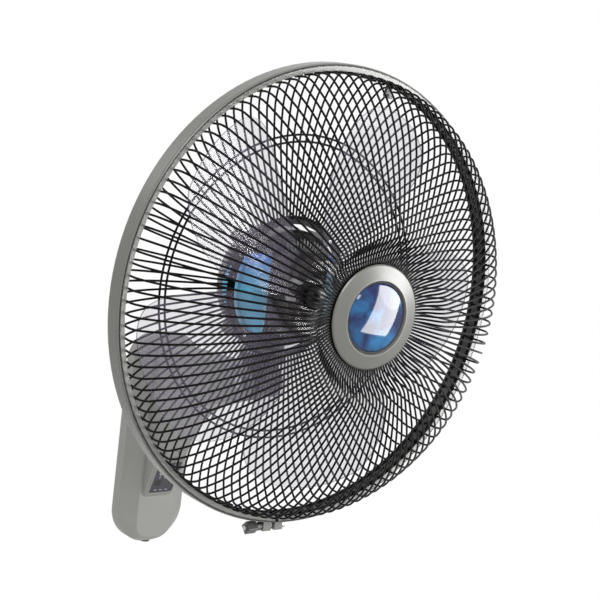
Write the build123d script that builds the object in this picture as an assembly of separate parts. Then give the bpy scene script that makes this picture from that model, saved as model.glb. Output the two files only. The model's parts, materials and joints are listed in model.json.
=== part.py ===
from build123d import *
import math
import os

# Wall mounted fan, in millimetres.
# Frame: the origin is the middle of the wall bracket on the wall plane Y = 0, +Z is up and the
# fan blows towards -Y.  Pieces of the head are drawn in the head frame: x to the right, y up and
# z forwards, with its origin where the fan axis meets the front edge of the guard band.

# ---------------------------------------------------------------- driving sizes
# Places that tie the three assemblies together
AXIS_Z = 165.0            # height of the fan axis above the wall bracket's middle
LIP_Y = -270.0            # front edge of the guard band, out from the wall
SWING_BACK = 82.0         # swing axis, behind the front edge of the guard band
HINGE_Y = -186.0          # tilt hinge, out from the wall
HINGE_Z = 60.0            # tilt hinge, above the wall bracket's middle

# General fits
RUNNING = 0.05            # radial clearance of a running fit
SEAT = 0.2                # gap between a piece and what it is seated in
MOVING = 0.3              # gap between pieces that move past each other

# Wall unit
WALL_WIDTH = 84.0
WALL_TOP = 70.0
WALL_BOTTOM = -171.0
WALL_TOP_R = 30.0
WALL_BOTTOM_R = 40.0
FACE_WIDTH = 46.0         # flat front face that the flanks slope to
FACE_TOP = 60.0
FACE_BOTTOM = -165.0
FACE_R = 18.0
TRAY_DEPTH = 14.0         # rear case, from the wall to the seam
FLANK_DEPTH = 25.0        # front face, from the wall
CASE_WALL = 2.5
BACK_WALL_Y = -2.3        # rear face of the rear case's back wall
SOFT_EDGE = 4.0
GLAND_R = 4.1
GLAND_BORE_R = 2.8
GLAND_Y = -9.8
GLAND_PROUD = 1.2

# Arm
ARM_HALF = 19.3
ARM_SIDE_WALL = 4.0
ARM_WALL = 3.0
ARM_TOP_BACK = 60.0
ARM_TOP_FRONT = 72.0
ARM_END_Y = -170.0
ARM_UNDERSIDE = ((-75.0, -17.0), (-101.0, 6.0), (-139.0, 24.0), (ARM_END_Y, 36.5))     # Y, Z
ARM_ROOT_Y = -18.0        # how far back the arm reaches into the wall unit
ARM_ROOT_DROP = 12.0      # and how far under the panel's lower edge
ARM_POCKET_Y = -158.0     # the arm is open between its ears from here on
ARM_EDGE = 3.0
EAR_R = 17.0
LID_DROP = 10.0           # how far the arm's lid reaches down its sides
LID_BACK_Y = -34.0

# Control panel
PANEL_LOW = (-29.0, -110.0)     # Y, Z of the sloping panel's lower edge
PANEL_HIGH = (-55.0, -47.0)
LABEL_W = 30.0
LABEL_H = 42.0
LABEL_T = 1.2
LABEL_EDGE = 1.5          # width of the raised rim round the label
LABEL_LOW = 2.0           # label's lower edge, up the panel
WINDOW_SIZE = 7.0
BOARD_W = 28.0
BOARD_H = 64.0
BOARD_T = 1.6
BOARD_DEPTH = 12.4        # front of the board, behind the panel's face
BUTTON_W = 7.0
BUTTON_H = 4.0
BUTTON_PROUD = 1.2
BUTTON_TRAVEL = 0.8
BUTTON_PITCH = 9.0
BUTTON_ROWS = (49.0, 58.0)      # up the panel
SWITCH_SIZE = 6.0
SWITCH_TALL = 3.5
LED_R = 1.2
LED_PITCH = 6.0

# Wall bracket
BRACKET_W = 60.0
BRACKET_H = 124.0
BRACKET_T = 2.0
BRACKET_HOLE_R = 2.5
BRACKET_HOLES_X = 40.0
BRACKET_HOLES_Z = 100.0
HOOK_W = 10.0
HOOK_REACH = 7.0
HOOK_ZS = (-52.0, 40.0)

# Tilt hinge
BOLT_R = 3.0
WASHER_R = 8.0
WASHER_T = 1.2
TONGUE_HALF = 12.8
TONGUE_R = 14.5
STEEL_T = 2.0
STEEL_EAR_R = 9.0
FOOT_W = 12.5
NECK_R = 23.5
NECK_RIM = 1.2
NECK_GAP = 5.5            # between the neck's top and the swing case, with the slotted plate in it
NECK_CUP_H = 8.0
NECK_CONE_H = 6.5
NECK_CONE_R = 17.5

# Swing joint
POST_R = 4.0
POST_COLLAR_R = 6.0
POST_ROOT = 23.0          # depth of the post in the neck
SLOT_PLATE_T = 1.8
CRANK_ARM = 10.0          # crank throw, and its shaft's distance from the swing axis
CRANK_PIN_R = 2.0
CRANK_T = 2.0
CRANK_HUB_R = 3.5
SWING_LIMIT = 45.0        # degrees each way
CASE_DROP = 6.7           # from the motor housing's underside to the swing case's floor
SWING_CASE_R = 22.0
SWING_CASE_T = 2.0
BUSH_R = 6.0
BUSH_H = 10.5
CLIP_T = 1.0
SWING_MOTOR_R = 17.0
SWING_MOTOR_RISE = 14.0   # from the swing case's floor to the swing motor's underside
SWING_MOTOR_H = 10.0
SWING_EAR_X = 15.5

# Motor, with depths behind the front edge of the guard band
SHAFT_R = 4.0
SHAFT_FRONT = 1.0
SHAFT_REAR = 96.0
PIN_DEPTH = 27.0
COVER_R = 59.8
COVER_FRONT = 40.0
COVER_SEAM = 80.0
COVER_LAP = 3.0
COVER_WALL = 2.0
COVER_SHOULDER = 13.0
VENT_INNER_R = 43.0
VENT_OUTER_R = 54.0
VENT_COUNT = 72
VENT_W = 1.9
CAP_R = COVER_R + 2.4     # the rear cap laps over the front cover
CAP_BACK = 105.0
CAP_ROUND = 24.0
CAP_BOSS_X = 24.0         # the cap's screws, each side of the fan axis
CAP_BOSS_R = 4.5
CAP_SCREW_SEAT = 99.0     # depth of the cap screws' heads
PANEL_T = 2.2
SIDE_PANEL_R = 40.0
SIDE_PANEL_DEPTH = 40.0
SIDE_PANEL_DROP = 3.5
SIDE_PANEL_INNER_X = 36.0
STATOR_SIDE = 76.0
STATOR_FRONT = 58.0
STATOR_BACK = 76.0
ROTOR_R = 21.5
AIR_GAP = 0.5
SHIELD_T = 2.0
SHIELD_FRONT = 50.0
SHIELD_REAR = 84.0
BEARING_R = 11.0
BEARING_W = 7.0
CUP_WALL = 2.0
MOTOR_BOLT_AT = 33.0
MOTOR_BOLT_R = 2.0
UPRIGHT_FRONT = 90.5
UPRIGHT_T = 3.0
UPRIGHT_BACK = UPRIGHT_FRONT + UPRIGHT_T

# Blades
BLADE_COUNT = 5
FIRST_BLADE = 68.0        # degrees from +x to the first blade's middle
BLADE_R = 200.0
BLADE_T = 2.0
BLADE_MIDDLE = 14.0       # depth of the blades' middle plane
HUB_R = 42.0
HUB_FRONT = 1.0
HUB_REAR = 30.0
HUB_WALL = 2.0
HUB_BOSS_R = 9.0
HUB_DISH = 12.0
NUT_R = 13.0

# Guards
BAND_LIP_R = 222.2        # inner edge of the band's lips
BAND_RIB_R = 222.4        # inner edge of the rib between the rim wires
BAND_R = 229.5
BAND_DEPTH = 20.0
BAND_WALL = 1.5
BAND_ROUND = 3.0          # outer corners of the band
WIRE_R = 1.0
WIRE_COUNT = 120
WIRE_SIDES = 8            # the wires' section, drawn with this many flats
RIM_WIRE_R = 2.0
RIM_INNER_R = 221.4       # inner side of the rim wires, which the guards' wires lie on
INNER_WIRE_R = 1.5
SUPPORT_R = 155.0
SUPPORT_STEP = 7.0
SUPPORT_WIRE_R = 1.1
WELD = 0.1                # how far welded wires sink into each other
FRONT_PROFILE = ((219.9, -8.0), (222.3, 14.0), (200.0, 40.0), (168.0, 62.5),
                 (125.0, 80.5), (79.0, 94.5), (64.0, 82.0), (46.0, 80.0))
REAR_PROFILE = ((219.9, -12.0), (220.4, -27.0), (196.0, -43.0), (155.0, -52.5),
                (100.0, -54.0), (CAP_R + 7.8, -53.5))
PLATE_INNER_R = CAP_R + 2.4
PLATE_OUTER_R = CAP_R + 10.8
PLATE_T = 2.0
PLATE_FRONT = 54.6
LUG_ANGLES = (45, 135, 225, 315)
LUG_W = 9.0
LUG_OUTER_R = CAP_R + 8.8
GUARD_SCREW_R = CAP_R + 4.7     # the guard screws' distance from the fan axis

# Badge in the middle of the front guard
BADGE_R = 50.8
BADGE_FACE = 84.4
BADGE_BACK = 81.8
GEM_R = 33.0
GEM_EDGE = 87.0
GEM_CROWN = 91.0

# Clamp at the bottom of the guard band
CLAMP_X = -20.0
CLAMP_GAP = 4.0
CLAMP_LUG_W = 10.0
CLAMP_LUG_H = 10.0
CLAMP_LUG_DEPTH = 10.0
CLAMP_SCREW_R = 2.5
CLAMP_HEAD_R = 4.0
CLAMP_NUT = 10.0
HOOK_ANGLE = 73.5         # degrees from +x to the small hook inside the band
HOOK_STEM = 12.0

# ---------------------------------------------------------------- frames
HEAD = Plane(origin=(0, LIP_Y, AXIS_Z), x_dir=(1, 0, 0), z_dir=(0, -1, 0))
SWING_Y = LIP_Y + SWING_BACK
CRANK_Y = SWING_Y - CRANK_ARM
RIM_R = RIM_INNER_R + RIM_WIRE_R
CASE_FLOOR_Z = AXIS_Z - COVER_R - CASE_DROP
BUSH_TOP_Z = CASE_FLOOR_Z + BUSH_H
SWING_MOTOR_Z = CASE_FLOOR_Z + SWING_MOTOR_RISE
NECK_TOP_Z = CASE_FLOOR_Z - NECK_GAP
NECK_SHOULDER_Z = NECK_TOP_Z - NECK_CUP_H
NECK_CONE_Z = NECK_SHOULDER_Z - NECK_CONE_H
POST_LOW_Z = NECK_TOP_Z - POST_ROOT
PLATE_BACK = PLATE_FRONT + PLATE_T
FOOT_Y = BACK_WALL_Y - CASE_WALL - 2.0      # rear face of the steel bracket's feet
PANEL_SLOPE = math.hypot(PANEL_HIGH[0] - PANEL_LOW[0], PANEL_HIGH[1] - PANEL_LOW[1])
PANEL_UP = Vector(0, PANEL_HIGH[0] - PANEL_LOW[0], PANEL_HIGH[1] - PANEL_LOW[1]) / PANEL_SLOPE
PANEL = Plane(origin=(0, *PANEL_LOW), x_dir=(1, 0, 0), z_dir=Vector(1, 0, 0).cross(PANEL_UP))
BASE = (Align.CENTER, Align.CENTER, Align.MIN)
CROWN = (Align.CENTER, Align.CENTER, Align.MAX)


# ---------------------------------------------------------------- helpers
def head(shape):
    """Move a shape from the head frame to the wall frame."""
    return HEAD.location * shape


def turned(*corners, rim_round=0.0):
    """Solid of revolution about the fan axis from (radius, forward) corners, in the head frame.

    Its two outermost corners can be rounded.
    """
    outline = make_face(Polyline(*[(r, 0, forward) for r, forward in corners], close=True))
    if rim_round:
        outline = fillet(outline.vertices().sort_by(Axis.X)[-2:], rim_round)
    return revolve(outline, Axis.Z)


def tube(outer, inner, front, back):
    """Round tube on the fan axis between two depths, in the head frame."""
    return turned((inner, -front), (outer, -front), (outer, -back), (inner, -back))


def rod(radius, start, end):
    """Round bar from one point to another."""
    run = Vector(*end) - Vector(*start)
    return extrude(Plane(origin=start, z_dir=run) * Circle(radius), run.length)


def upright_rod(radius, x, y, low, high):
    """Vertical round bar."""
    return rod(radius, (x, y, low), (x, y, high))


def wire_ring(ring_r, wire_r, forward):
    """Closed ring of wire round the fan axis, in the head frame."""
    return Pos(0, 0, forward) * Torus(ring_r, wire_r)


def bend_radii(points, share=0.45):
    """Largest even bend that each corner of a wire's path has room for."""
    radii = []
    for before, corner, after in zip(points, points[1:], points[2:]):
        run_in = Vector(*corner) - Vector(*before)
        run_out = Vector(*after) - Vector(*corner)
        turn = math.radians(run_in.get_angle(run_out))
        radii.append(share * min(run_in.length, run_out.length) / math.tan(turn / 2))
    return radii


def wire_path(profile):
    """Bent line of one guard wire on its (radius, forward) profile, drawn along +x."""
    points = [(r, 0, forward) for r, forward in profile]
    return FilletPolyline(*points, radius=bend_radii(points))


def wire_at(profile, radius):
    """How far forward the wires' middle line lies at one distance from the fan axis."""
    path = wire_path(profile)
    low, high = 0.15, 1.0
    for _ in range(40):
        middle = (low + high) / 2
        low, high = (middle, high) if (path @ middle).X > radius else (low, middle)
    return (path @ low).Z


def guard_wires(profile):
    """Evenly spaced radial wires, all bent to one profile."""
    path = wire_path(profile)
    section = RegularPolygon(WIRE_R, WIRE_SIDES, major_radius=False, rotation=180 / WIRE_SIDES)
    wire = sweep(Plane(origin=path @ 0, z_dir=path % 0) * section, path=path)
    pitch = 360 / WIRE_COUNT
    return Compound(children=[head(Rot(0, 0, pitch * i) * wire) for i in range(WIRE_COUNT)])


def screw(head_r, head_t, shank_r, length):
    """Pan-head screw that points along -z, its head resting on z = 0."""
    pan = fillet(Cylinder(head_r, head_t, align=BASE).edges().group_by(Axis.Z)[-1], head_t * 0.4)
    slot = Pos(0, 0, head_t) * (Box(head_r * 1.1, 0.8, head_t) + Box(0.8, head_r * 1.1, head_t))
    shank = Pos(0, 0, -length) * Cylinder(shank_r, length, align=BASE)
    return pan - slot + shank


# ---------------------------------------------------------------- wall unit
def rounded_outline(width, low, high, low_r, high_r, inset):
    """Upright rounded rectangle, drawn in from its edge by inset."""
    face = Pos(0, (low + high) / 2) * Rectangle(width - 2 * inset, high - low - 2 * inset)
    face = fillet(face.vertices().group_by(Axis.Y)[-1], high_r - inset)
    return fillet(face.vertices().group_by(Axis.Y)[0], low_r - inset)


def wall_outline(inset=0.0):
    return rounded_outline(WALL_WIDTH, WALL_BOTTOM, WALL_TOP, WALL_BOTTOM_R, WALL_TOP_R, inset)


def face_outline(inset=0.0):
    return rounded_outline(FACE_WIDTH, FACE_BOTTOM, FACE_TOP, FACE_R, FACE_R, inset)


def flanks(inset=0.0):
    """The front shell's sloping flanks and flat face."""
    seam = Plane.XZ.offset(TRAY_DEPTH) * wall_outline(inset)
    face = Plane.XZ.offset(FLANK_DEPTH - inset) * face_outline(inset)
    shell = loft([seam.face(), face.face()], ruled=True)
    if inset:
        return shell
    return fillet(shell.edges().group_by(Axis.Y)[0], SOFT_EDGE)


def beside(points, amount):
    """Points of a line, each moved across the line by amount."""
    moved = []
    for i, (y, z) in enumerate(points):
        before = points[max(i - 1, 0)]
        after = points[min(i + 1, len(points) - 1)]
        run = Vector(after[0] - before[0], after[1] - before[1]).normalized()
        moved.append((y + amount * run.Y, z - amount * run.X))
    return moved


def arm_side(inset=0.0):
    """Side view of the arm and the sloping panel on the YZ plane, drawn in by inset."""
    panel = Line(*beside((PANEL_LOW, PANEL_HIGH), inset))
    under = Spline(panel @ 1, *beside((PANEL_HIGH, *ARM_UNDERSIDE), inset)[1:])
    back_y = ARM_ROOT_Y - inset
    rest = Polyline(under @ 1, ((under @ 1).X, ARM_TOP_FRONT - inset), (back_y, ARM_TOP_BACK - inset),
                    (back_y, PANEL_LOW[1] - ARM_ROOT_DROP + inset), panel @ 0)
    return make_face(panel + under + rest)


def ear_side(radius, reach_y, low, high):
    """Rounded end of an arm plate, tangent to an upright edge further back."""
    eye = Pos(HINGE_Y, HINGE_Z) * Circle(radius)
    root = Pos(reach_y, (low + high) / 2) * Rectangle(0.5, high - low)
    return make_hull(eye.edges() + root.edges())


def side_plates(outline, inner, outer):
    """Two equal upright plates, one each side of the middle."""
    plates = [extrude(Plane.YZ.offset(x) * outline, outer - inner) for x in (inner, -outer)]
    return plates[0] + plates[1]


def arm_solid():
    arm = extrude(Plane.YZ.offset(-ARM_HALF) * arm_side(), 2 * ARM_HALF)
    sides = arm.faces().sort_by(Axis.X)
    arm = fillet(sides[0].edges() + sides[-1].edges(), ARM_EDGE)
    ears = side_plates(ear_side(EAR_R, ARM_END_Y + 6, 38, ARM_TOP_FRONT - 2),
                       ARM_HALF - ARM_SIDE_WALL, ARM_HALF)
    return arm + ears - hinge_rod(BOLT_R + SEAT)


def arm_hollow():
    """The arm's inside, and the open pocket between its ears."""
    half = ARM_HALF - ARM_SIDE_WALL
    inside = extrude(Plane.YZ.offset(-half) * arm_side(ARM_WALL), 2 * half)
    pocket = Pos(0, ARM_POCKET_Y - 60, HINGE_Z) * Box(2 * half, 120, 120)
    return inside, pocket


def front_shell():
    """Front case and arm as one hollow shell, before the arm's lid is cut off."""
    shell = flanks() + arm_solid() - flanks(CASE_WALL)
    for hollow in arm_hollow():
        shell -= hollow
    return shell - Pos(0, -TRAY_DEPTH / 2, 0) * Box(200, TRAY_DEPTH, 600)


def lid_zone():
    """Space of the arm's lid: the top of the arm between the wall unit and the ears."""
    length = LID_BACK_Y - ARM_POCKET_Y
    low = ARM_TOP_BACK - LID_DROP
    return Pos(0, ARM_POCKET_Y + length / 2, low + 50) * Box(3 * ARM_HALF, length, 100)


def boss_places():
    """X, Z of the screws that hold the two case halves together."""
    return [(x, z) for x in (-31, 31) for z in (WALL_BOTTOM + 36, WALL_TOP - 26)]


def board_places():
    """x, y on the sloping panel of the control board's screws."""
    return [(x, y) for x in (-11.2, 11.2) for y in (5.0, PANEL_SLOPE - 4)]


def button_places():
    """x, y on the sloping panel of each button, under the name of what it sets."""
    low, high = BUTTON_ROWS
    return {"power_button": (-BUTTON_PITCH / 2, low), "swing_button": (BUTTON_PITCH / 2, low),
            "speed_button": (-BUTTON_PITCH, high), "mode_button": (0, high),
            "timer_button": (BUTTON_PITCH, high)}


def on_panel(x, y, z=0.0):
    return PANEL.location * Pos(x, y, z)


def front_case():
    shell = front_shell() - lid_zone() - gland_hole()
    for x, z in boss_places():
        shell += rod(4.0, (x, -TRAY_DEPTH, z), (x, -TRAY_DEPTH - 4.5, z))
        shell -= rod(1.6, (x, -TRAY_DEPTH + 1, z), (x, -TRAY_DEPTH - 3.0, z))
    for x, y in board_places():
        boss = Cylinder(2.4, BOARD_DEPTH - ARM_WALL + 0.5, align=BASE)
        shell += on_panel(x, y, -BOARD_DEPTH) * boss
        shell -= on_panel(x, y, -BOARD_DEPTH - 1) * Cylinder(1.0, 7, align=BASE)
    label_y = LABEL_LOW + LABEL_H / 2
    rim = RectangleRounded(LABEL_W + 2 * LABEL_EDGE, LABEL_H + 2 * LABEL_EDGE, 3)
    shell += on_panel(0, label_y, -1) * extrude(rim, 1.7)
    recess = RectangleRounded(LABEL_W + 2 * SEAT, LABEL_H + 2 * SEAT, 2)
    shell -= on_panel(0, label_y, -LABEL_T) * extrude(recess, 5)
    window_x, window_y = window_place()
    shell -= on_panel(window_x, window_y) * Box(WINDOW_SIZE - 1, WINDOW_SIZE - 1, 4 * ARM_WALL)
    for x, y in led_places():
        shell -= on_panel(x, y, -6) * Cylinder(LED_R + SEAT, 10)
    hole = RectangleRounded(BUTTON_W + 2 * MOVING, BUTTON_H + 2 * MOVING, 1.5)
    for x, y in button_places().values():
        shell -= on_panel(x, y, -6) * extrude(hole, 12)
    return shell


def arm_cover():
    shell = front_shell() & lid_zone()
    trim = Pos(0, (LID_BACK_Y + ARM_POCKET_Y) / 2, 0)
    seam = trim * Box(3 * ARM_HALF, abs(LID_BACK_Y - ARM_POCKET_Y), 2 * SEAT)
    return shell - Pos(0, 0, ARM_TOP_BACK - LID_DROP) * seam


def rear_case():
    """Shallow tray on the wall, with its back wall set in to leave room for the bracket."""
    tray = extrude(Plane.XZ.offset(SEAT) * wall_outline(), TRAY_DEPTH - SEAT - 0.1)
    inside = Plane.XZ.offset(-BACK_WALL_Y + CASE_WALL) * wall_outline(CASE_WALL)
    recess = Plane.XZ * wall_outline(CASE_WALL)
    tray -= extrude(inside, TRAY_DEPTH)
    tray -= extrude(recess, -BACK_WALL_Y)
    for z in HOOK_ZS:
        tray -= Pos(0, BACK_WALL_Y, z + 3) * Box(HOOK_W + 2, 4 * CASE_WALL, 16)
    front = BACK_WALL_Y - CASE_WALL
    for x, z in boss_places():
        tray += rod(4.5, (x, BACK_WALL_Y, z), (x, -TRAY_DEPTH + 0.1, z))
        tray -= rod(2.1, (x, 0, z), (x, -TRAY_DEPTH - 1, z))
        tray -= rod(4.0, (x, 1, z), (x, front, z))
    for x, z in bracket_screw_places():
        tray += rod(4.0, (x, BACK_WALL_Y, z), (x, front - 2, z))
        tray -= rod(1.6, (x, BACK_WALL_Y - 1, z), (x, front - 3, z))
    return tray - gland_hole()


def gland_hole():
    return upright_rod(GLAND_R + SEAT, 0, GLAND_Y, WALL_BOTTOM - 2, WALL_BOTTOM + 6)


def cord_gland():
    """Rubber inlet in the bottom edge, with its bore for a lead."""
    low = WALL_BOTTOM - GLAND_PROUD
    gland = upright_rod(GLAND_R, 0, GLAND_Y, low, WALL_BOTTOM + 6)
    gland += upright_rod(GLAND_R + 1.3, 0, GLAND_Y, low, WALL_BOTTOM - SEAT)
    return gland - upright_rod(GLAND_BORE_R, 0, GLAND_Y, low - 1, WALL_BOTTOM + 7)


def wall_bracket():
    """Steel plate screwed to the wall, with two hooks that the rear case hangs on."""
    plate = RectangleRounded(BRACKET_W, BRACKET_H, 6)
    plate -= GridLocations(BRACKET_HOLES_X, BRACKET_HOLES_Z, 2, 2) * Circle(BRACKET_HOLE_R)
    bracket = extrude(Plane.XZ * plate, BRACKET_T)
    for z in HOOK_ZS:
        bracket -= Pos(0, -BRACKET_T / 2, z + 6) * Box(HOOK_W, 2 * BRACKET_T, 11)
        bracket += Pos(0, -HOOK_REACH / 2, z - 0.5) * Box(HOOK_W, HOOK_REACH, STEEL_T)
        bracket += Pos(0, -HOOK_REACH + STEEL_T / 2, z + 4.5) * Box(HOOK_W, STEEL_T, 12)
    return bracket


def bracket_screw_places():
    """X, Z of the screws that hold the arm's steel bracket to the rear case."""
    return [(x, z) for x in (-20.5, 20.5) for z in (24, 48)]


def tilt_bracket():
    """Folded steel strap inside the arm: two side plates, a web and two screwed feet."""
    inner = TONGUE_HALF + SEAT
    eye = Pos(HINGE_Y, HINGE_Z) * Circle(STEEL_EAR_R)
    root = Pos(FOOT_Y - 1, 36) * Rectangle(2, 40)
    side = make_hull(eye.edges() + root.edges())
    strap = side_plates(side, inner, inner + STEEL_T)
    for mirror_x in (-1, 1):
        foot = Box(FOOT_W, STEEL_T, 40)
        strap += Pos(mirror_x * (inner + FOOT_W / 2), FOOT_Y - STEEL_T / 2, 36) * foot
    web = Box(2 * inner + 1, 60, STEEL_T)
    strap += Pos(0, FOOT_Y - 38, 38) * web
    for x, z in bracket_screw_places():
        strap -= rod(2.2, (x, 0, z), (x, -30, z))
    return strap - hinge_rod(BOLT_R + RUNNING)


def case_screws():
    """Case screws from behind and bracket screws from in front, all of one kind."""
    back = BACK_WALL_Y - CASE_WALL
    turn_back = Rot(90, 0, 0)
    turn_front = Rot(-90, 0, 0)
    screws = [Pos(x, back, z) * turn_front * screw(3.6, 2.0, 1.5, 11) for x, z in boss_places()]
    foot = FOOT_Y - STEEL_T
    screws += [Pos(x, foot, z) * turn_back * screw(3.6, 2.0, 1.5, 4.5)
               for x, z in bracket_screw_places()]
    return Compound(children=screws)


# ---------------------------------------------------------------- controls
def window_place():
    return (-LABEL_W / 2 + 8.5, LABEL_LOW + 13)


def led_places():
    """x, y on the sloping panel of the four indicator lamps."""
    y = LABEL_LOW + LABEL_H - 15
    return [(LED_PITCH * (i - 1.5), y) for i in range(4)]


def control_label():
    label = RectangleRounded(LABEL_W, LABEL_H, 1.8)
    plate = on_panel(0, LABEL_LOW + LABEL_H / 2, -LABEL_T + 0.1) * extrude(label, LABEL_T)
    x, y = window_place()
    plate -= on_panel(x, y) * Box(WINDOW_SIZE + 2 * SEAT, WINDOW_SIZE + 2 * SEAT, 10)
    for x, y in led_places():
        plate -= on_panel(x, y) * Cylinder(LED_R + SEAT, 10)
    return plate


def ir_window():
    x, y = window_place()
    pane = on_panel(x, y, -LABEL_T + 0.1) * Box(WINDOW_SIZE, WINDOW_SIZE, LABEL_T + 0.2, align=BASE)
    plug = Box(WINDOW_SIZE - 1.4, WINDOW_SIZE - 1.4, 3, align=BASE)
    return pane + on_panel(x, y, -LABEL_T - 2.8) * plug


def led_lenses():
    lens = Cylinder(LED_R, 9.2, align=BASE)
    lens = fillet(lens.edges().group_by(Axis.Z)[-1], LED_R * 0.6)
    foot = Cylinder(LED_R + 0.5, 1.5, align=BASE)
    depth = -BOARD_DEPTH + 3.6
    return Compound(children=[on_panel(x, y, depth) * (lens + foot) for x, y in led_places()])


def control_board():
    """Board on the panel's bosses, with its lamps' bodies and the remote control's receiver."""
    board = Pos(0, PANEL_SLOPE / 2) * RectangleRounded(BOARD_W, BOARD_H, 2)
    plate = PANEL.location * Pos(0, 0, -BOARD_DEPTH - BOARD_T) * extrude(board, BOARD_T - 0.05)
    for x, y in board_places():
        plate -= on_panel(x, y) * Cylinder(1.3, 60)
    for x, y in led_places():
        plate += on_panel(x, y, -BOARD_DEPTH - 0.1) * Box(3.2, 3.2, 3.4, align=BASE)
    x, y = window_place()
    plate += on_panel(x, y, -BOARD_DEPTH - 0.1) * Box(6, 5, 7.5, align=BASE)
    return plate


def board_screws():
    back = -BOARD_DEPTH - BOARD_T - SEAT / 4
    turn = Rot(180, 0, 0)
    return Compound(children=[on_panel(x, y, back) * turn * screw(2.2, 1.3, 0.95, 7)
                              for x, y in board_places()])


def tact_switches():
    """One push switch under each button, soldered to the board."""
    body = Box(SWITCH_SIZE, SWITCH_SIZE, SWITCH_TALL, align=BASE)
    plunger = Pos(0, 0, SWITCH_TALL) * Cylinder(1.7, 1.2, align=BASE)
    switch = body + plunger
    return Compound(children=[on_panel(x, y, -BOARD_DEPTH + 0.02) * switch
                              for x, y in button_places().values()])


def push_button(x, y):
    """Moulded key: a pad in the panel's hole, a keeper flange behind it and a stem."""
    pad = extrude(RectangleRounded(BUTTON_W, BUTTON_H, 1.2), ARM_WALL + BUTTON_PROUD + 0.6)
    pad = Pos(0, 0, -ARM_WALL - 0.6) * fillet(pad.edges().group_by(Axis.Z)[-1], 0.5)
    keeper = Pos(0, 0, -ARM_WALL - 1.2) * Box(BUTTON_W + 1.4, BUTTON_H + 2.6, 0.9, align=BASE)
    stem_low = -BOARD_DEPTH + SWITCH_TALL + 1.3 + BUTTON_TRAVEL
    stem = Pos(0, 0, stem_low) * Cylinder(1.6, -ARM_WALL - 1 - stem_low, align=BASE)
    return on_panel(x, y) * (pad + keeper + stem)


def run_capacitor():
    """Motor capacitor, a boxed winding clipped to the back wall under the steel bracket."""
    block = Pos(0, BACK_WALL_Y - CASE_WALL - SEAT - 8, -18) * Box(24, 16, 38)
    block = fillet(block.edges().filter_by(Axis.Z), 2)
    for x in (-5, 5):
        block += upright_rod(1.0, x, BACK_WALL_Y - CASE_WALL - 8, 0, 8)
    return block


def terminal_block():
    """Screw terminals for the lead, moulded on a foot on the back wall."""
    back = BACK_WALL_Y - CASE_WALL - 0.1
    block = Pos(0, back - 5, WALL_BOTTOM + 38) * Box(30, 10, 14)
    for x in (-10, 0, 10):
        block -= rod(2.0, (x, back - 6, WALL_BOTTOM + 38), (x, back - 12, WALL_BOTTOM + 38))
    return block


# ---------------------------------------------------------------- tilt hinge and neck
def hinge_rod(radius, reach=60.0):
    """Round bar along the tilt hinge."""
    return rod(radius, (-reach, HINGE_Y, HINGE_Z), (reach, HINGE_Y, HINGE_Z))


def neck_housing():
    """Moulded neck: a round head under the motor, and a tongue between the arm's ears."""
    cone = Pos(0, 0, NECK_CONE_Z) * Cone(NECK_CONE_R, NECK_R, NECK_SHOULDER_Z - NECK_CONE_Z,
                                         align=BASE)
    cup = upright_rod(NECK_R, 0, 0, NECK_SHOULDER_Z, NECK_TOP_Z)
    neck = Pos(0, SWING_Y, 0) * (cone + cup)
    eye = Pos(HINGE_Y, HINGE_Z) * Circle(TONGUE_R)
    root = Pos(HINGE_Y - 2, NECK_CONE_Z - 0.5) * Rectangle(2 * TONGUE_R, 1)
    tongue = extrude(Plane.YZ.offset(-TONGUE_HALF) * make_hull(eye.edges() + root.edges()),
                     2 * TONGUE_HALF)
    neck += tongue
    recess_r = NECK_R - NECK_RIM
    neck -= upright_rod(recess_r, 0, SWING_Y, NECK_TOP_Z - 3.5, NECK_TOP_Z + 1)
    neck += upright_rod(POST_COLLAR_R + 3, 0, SWING_Y, NECK_TOP_Z - 4, NECK_TOP_Z)
    neck -= upright_rod(POST_R, 0, SWING_Y, POST_LOW_Z, NECK_TOP_Z + 1)
    return neck - hinge_rod(BOLT_R + RUNNING)


def swing_slot_plate():
    """Steel plate on the neck with the straight slot that the crank's pin works in."""
    top = NECK_TOP_Z + SLOT_PLATE_T
    plate = upright_rod(NECK_R, 0, SWING_Y, NECK_TOP_Z, top)
    plate -= upright_rod(POST_R + RUNNING, 0, SWING_Y, NECK_TOP_Z - 1, top + 1)
    near = 2 * CRANK_ARM * math.cos(math.radians(SWING_LIMIT))
    far = 2 * CRANK_ARM
    slot = SlotCenterToCenter(far - near, 2 * (CRANK_PIN_R + SEAT), rotation=90)
    middle = SWING_Y - (near + far) / 2
    return plate - Pos(0, middle, NECK_TOP_Z - 1) * extrude(slot, SLOT_PLATE_T + 2)


def swing_post():
    """Steel pivot pressed in the neck; its collar carries the head."""
    collar_low = NECK_TOP_Z + SLOT_PLATE_T
    top = BUSH_TOP_Z + 3
    post = upright_rod(POST_R, 0, SWING_Y, POST_LOW_Z, top)
    post += upright_rod(POST_COLLAR_R, 0, SWING_Y, collar_low, CASE_FLOOR_Z - RUNNING)
    groove = Pos(0, SWING_Y, BUSH_TOP_Z + SEAT) * Cylinder(POST_R + 1, CLIP_T + 0.1, align=BASE)
    core = Pos(0, SWING_Y, BUSH_TOP_Z) * Cylinder(POST_R - 0.8, 3, align=BASE)
    return post - (groove - core)


def post_clip():
    """Open retaining ring in the post's groove."""
    low = BUSH_TOP_Z + SEAT + 0.05
    ring = upright_rod(POST_R + 2.2, 0, SWING_Y, low, low + CLIP_T)
    ring -= upright_rod(POST_R - 0.8 + RUNNING, 0, SWING_Y, low - 1, low + 3)
    return ring - Pos(0, SWING_Y + POST_R + 1, low) * Box(4, 6, 4)


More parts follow.
